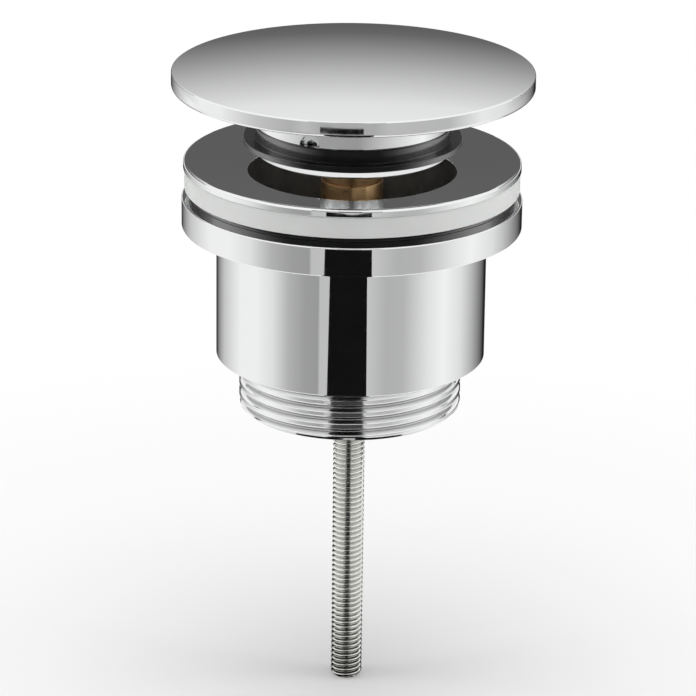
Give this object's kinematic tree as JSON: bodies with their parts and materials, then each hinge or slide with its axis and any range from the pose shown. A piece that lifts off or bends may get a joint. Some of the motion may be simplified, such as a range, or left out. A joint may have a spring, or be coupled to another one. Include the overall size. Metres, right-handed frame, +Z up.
{
  "type": "pop up basin waste",
  "caption": "Push-to-close basin waste: domed plug on a latching cartridge, dished flange with gaskets, and a clamped barrel with a threaded tail.",
  "frame": {"origin": "on the waste's axis at the basin's face, between the upper and the lower gasket", "axes": "+Z up along the waste's axis, towards the cap; -Y towards the picture's viewer"},
  "size_m": [0.0674, 0.0674, 0.1235],
  "materials": {
    "chrome": "polished",
    "brass": "turned",
    "steel": "zinced",
    "black_rubber": "satin",
    "white_silicone": "matt",
    "acetal": "moulded"
  },
  "bodies": {
    "basin_flange": {"flange": "chrome", "upper_gasket": "white_silicone"},
    "clamp": {"clamp_screw": "steel", "cartridge_housing": "brass", "gland_nut": "brass", "stem_o_ring": "black_rubber", "cartridge_spring": "steel", "seat_washer": "acetal"},
    "plug": {"cap": "chrome", "plug_core": "chrome", "plug_seal": "black_rubber", "grub_screw": "steel", "stem": "steel", "stem_nut": "brass", "rotor": "acetal"},
    "tailpiece": {"lower_body": "chrome", "lower_gasket": "black_rubber"}
  },
  "joints": [
    {"name": "cartridge_turn", "type": "hinge", "parent": "basin_flange", "child": "clamp", "pos_m": [0, 0, 0], "axis": [0, 0, 1], "range_deg": [0, 16200]},
    {"name": "plug_press", "type": "slide", "parent": "clamp", "child": "plug", "axis": [0, 0, 1], "range_m": [-0.005, 0], "stiffness_N_per_m": 1200, "springref_m": 0.006, "deforming": ["cartridge_spring"]},
    {"name": "clamp_slide", "type": "slide", "parent": "basin_flange", "child": "tailpiece", "axis": [0, 0, 1], "range_m": [-0.045, 0]}
  ],
  "couplings": [
    {"joint": "cartridge_turn", "follows": "clamp_slide", "rad_per_m": -6283.2}
  ]
}
